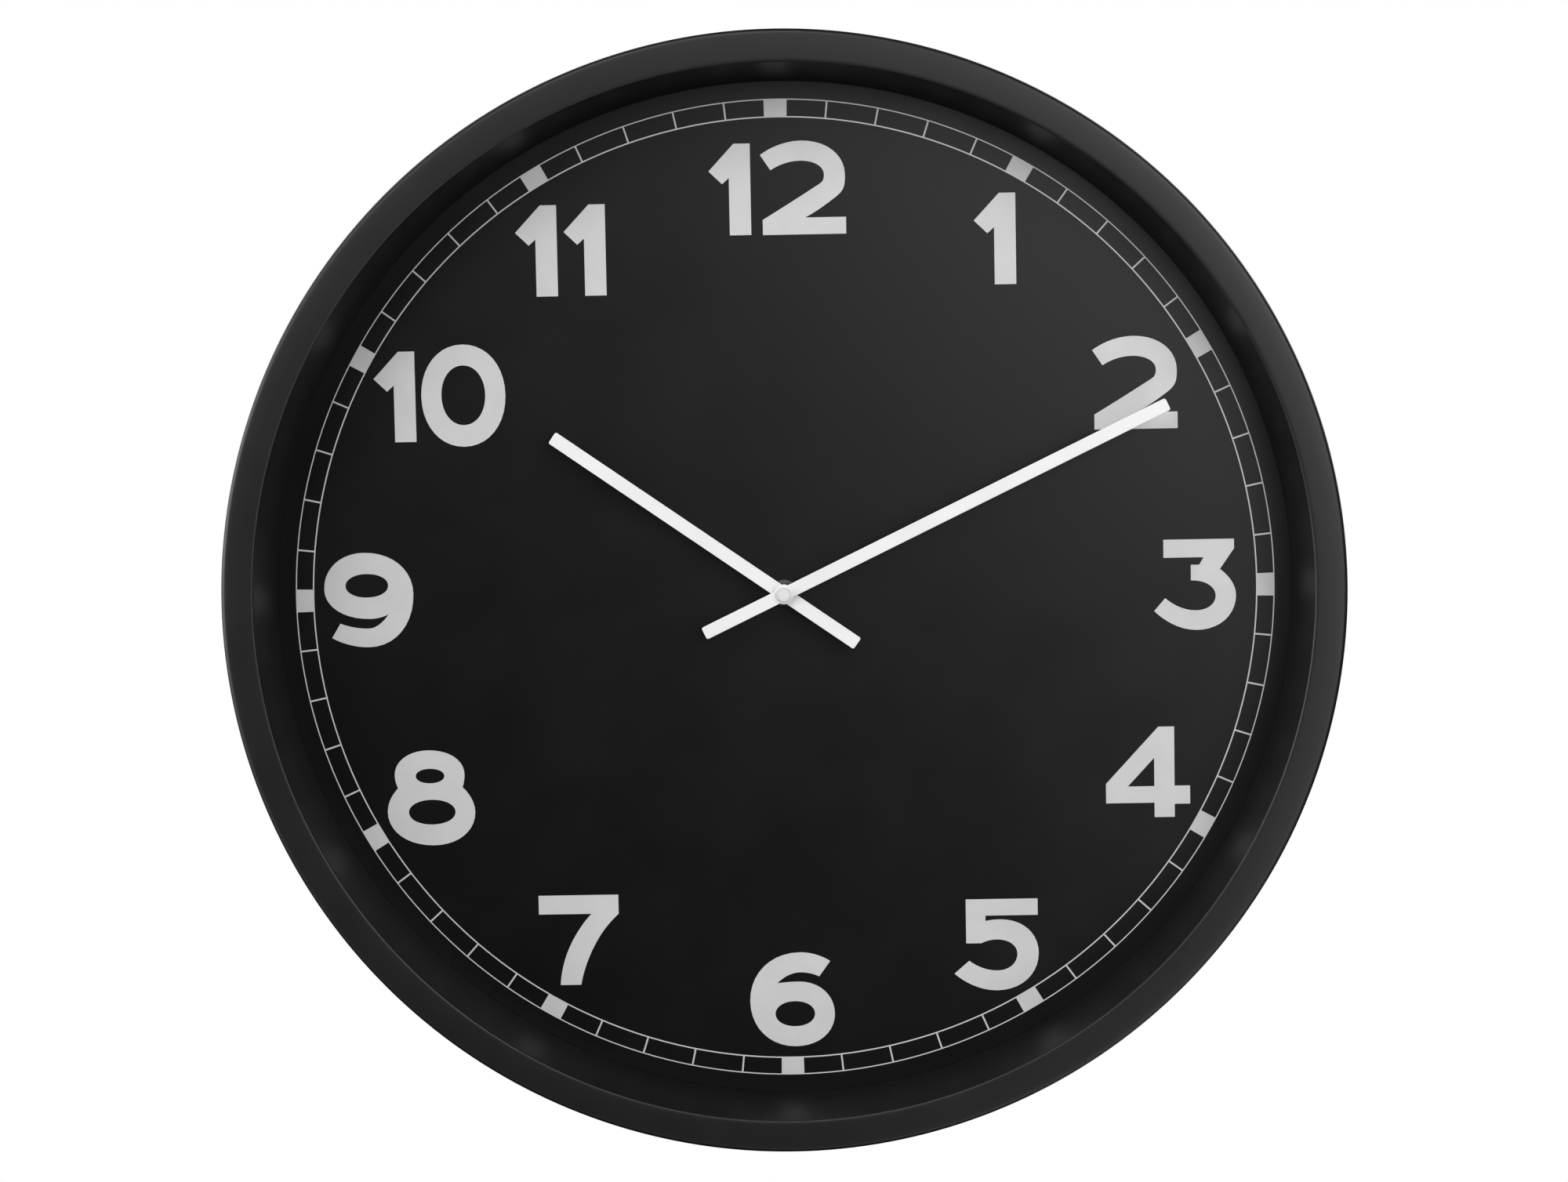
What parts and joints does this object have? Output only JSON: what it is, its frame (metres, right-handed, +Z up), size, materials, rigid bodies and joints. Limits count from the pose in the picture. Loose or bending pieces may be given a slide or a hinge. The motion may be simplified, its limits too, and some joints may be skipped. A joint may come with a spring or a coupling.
{
  "type": "wall clock",
  "caption": "Round analogue wall clock with a deep black spun-metal case, black dial, white bar hands and a battery quartz movement behind the dial.",
  "frame": {"origin": "hang point: centre of the round top end of the keyhole slot, on the wall plane; the arbor of the hands is 255 mm below it", "axes": "+X to the right of someone facing the dial, +Y into the wall, +Z up; the dial faces -Y and the wall plane is Y = 0"},
  "size_m": [0.603, 0.066, 0.603],
  "materials": {
    "black_steel_paint": "satin black powder coat",
    "dial_paint": "satin black enamel with pale grey printing",
    "white_paint": "satin white enamel",
    "pressed_board": "smooth-faced pressed fibreboard",
    "zinc_steel": "bright zinc plate",
    "black_zinc": "black zinc plate",
    "brass": "turned brass",
    "black_rubber": "matt rubber",
    "black_plastic": "fine spark-eroded texture",
    "white_plastic": "moulded acetal",
    "copper_wire": "enamelled copper wire",
    "circuit_green": "solder mask",
    "magnet": "sintered magnet",
    "battery_jacket": "shrink-film label, no lettering"
  },
  "bodies": {
    "clock_body": {"spun_case": "black_steel_paint", "dial_plate": "dial_paint", "dial_screw_1": "black_zinc", "dial_screw_2": "black_zinc", "dial_screw_3": "black_zinc", "dial_screw_4": "black_zinc", "dial_screw_5": "black_zinc", "dial_screw_6": "black_zinc", "back_board": "pressed_board", "back_bracket_1": "zinc_steel", "back_bracket_2": "zinc_steel", "back_bracket_3": "zinc_steel", "back_bracket_4": "zinc_steel", "back_screw_1": "black_zinc", "back_screw_2": "black_zinc", "back_screw_3": "black_zinc", "back_screw_4": "black_zinc", "hanger_plate": "zinc_steel", "hanger_screw_1": "zinc_steel", "hanger_screw_2": "zinc_steel", "movement_housing": "black_plastic", "movement_cover": "black_plastic", "threaded_bush": "brass", "dial_gasket": "black_rubber", "bush_washer": "black_zinc", "bush_nut": "black_zinc", "stator": "zinc_steel", "coil_core": "zinc_steel", "coil_bobbin": "white_plastic", "coil_winding": "copper_wire", "circuit_board": "circuit_green", "quartz_crystal": "zinc_steel", "driver_chip": "black_plastic", "positive_contact": "zinc_steel", "negative_contact": "zinc_steel"},
    "minute_group": {"minute_arbor": "brass", "minute_hand": "white_paint", "hub_cap": "white_paint"},
    "hour_group": {"hour_wheel": "white_plastic", "hour_hand": "white_paint"},
    "motion_wheel": {"motion_wheel": "white_plastic"},
    "setting_knob": {"setting_knob": "white_plastic"},
    "rotor": {"rotor": "magnet"},
    "intermediate_wheel": {"intermediate_wheel": "white_plastic"},
    "seconds_wheel": {"seconds_wheel": "white_plastic"},
    "third_wheel": {"third_wheel": "white_plastic"},
    "centre_wheel": {"centre_wheel": "brass"},
    "battery": {"battery": "battery_jacket"}
  },
  "joints": [
    {"name": "minute_hand_turn", "type": "hinge", "parent": "clock_body", "child": "minute_group", "pos_m": [0, -0.0174, -0.255], "axis": [0, 1, 0], "continuous": true},
    {"name": "hour_hand_turn", "type": "hinge", "parent": "clock_body", "child": "hour_group", "pos_m": [0, -0.0174, -0.255], "axis": [0, 1, 0], "continuous": true},
    {"name": "motion_wheel_turn", "type": "hinge", "parent": "clock_body", "child": "motion_wheel", "pos_m": [0.00707, -0.0174, -0.24793], "axis": [0, 1, 0], "continuous": true},
    {"name": "setting_knob_turn", "type": "hinge", "parent": "clock_body", "child": "setting_knob", "pos_m": [0.01647, -0.0174, -0.24451], "axis": [0, 1, 0], "continuous": true},
    {"name": "rotor_turn", "type": "hinge", "parent": "clock_body", "child": "rotor", "pos_m": [0.00647, -0.0174, -0.24087], "axis": [0, 1, 0], "continuous": true},
    {"name": "intermediate_wheel_turn", "type": "hinge", "parent": "clock_body", "child": "intermediate_wheel", "pos_m": [0.00287, -0.0174, -0.24711], "axis": [0, 1, 0], "continuous": true},
    {"name": "seconds_wheel_turn", "type": "hinge", "parent": "clock_body", "child": "seconds_wheel", "pos_m": [0, -0.0174, -0.255], "axis": [0, 1, 0], "continuous": true},
    {"name": "third_wheel_turn", "type": "hinge", "parent": "clock_body", "child": "third_wheel", "pos_m": [-0.00883, -0.0174, -0.2499], "axis": [0, 1, 0], "continuous": true},
    {"name": "centre_wheel_turn", "type": "hinge", "parent": "clock_body", "child": "centre_wheel", "pos_m": [0, -0.0174, -0.255], "axis": [0, 1, 0], "continuous": true},
    {"name": "battery_slide", "type": "slide", "parent": "clock_body", "child": "battery", "axis": [0, 1, 0], "range_m": [0, 0.025]}
  ],
  "couplings": [
    {"joint": "hour_hand_turn", "follows": "minute_hand_turn", "ratio": 0.083333},
    {"joint": "motion_wheel_turn", "follows": "minute_hand_turn", "ratio": -0.33333},
    {"joint": "setting_knob_turn", "follows": "minute_hand_turn", "ratio": 1},
    {"joint": "intermediate_wheel_turn", "follows": "rotor_turn", "ratio": -0.2},
    {"joint": "seconds_wheel_turn", "follows": "rotor_turn", "ratio": 0.033333},
    {"joint": "third_wheel_turn", "follows": "rotor_turn", "ratio": -0.0044444},
    {"joint": "centre_wheel_turn", "follows": "rotor_turn", "ratio": 0.00055556}
  ]
}
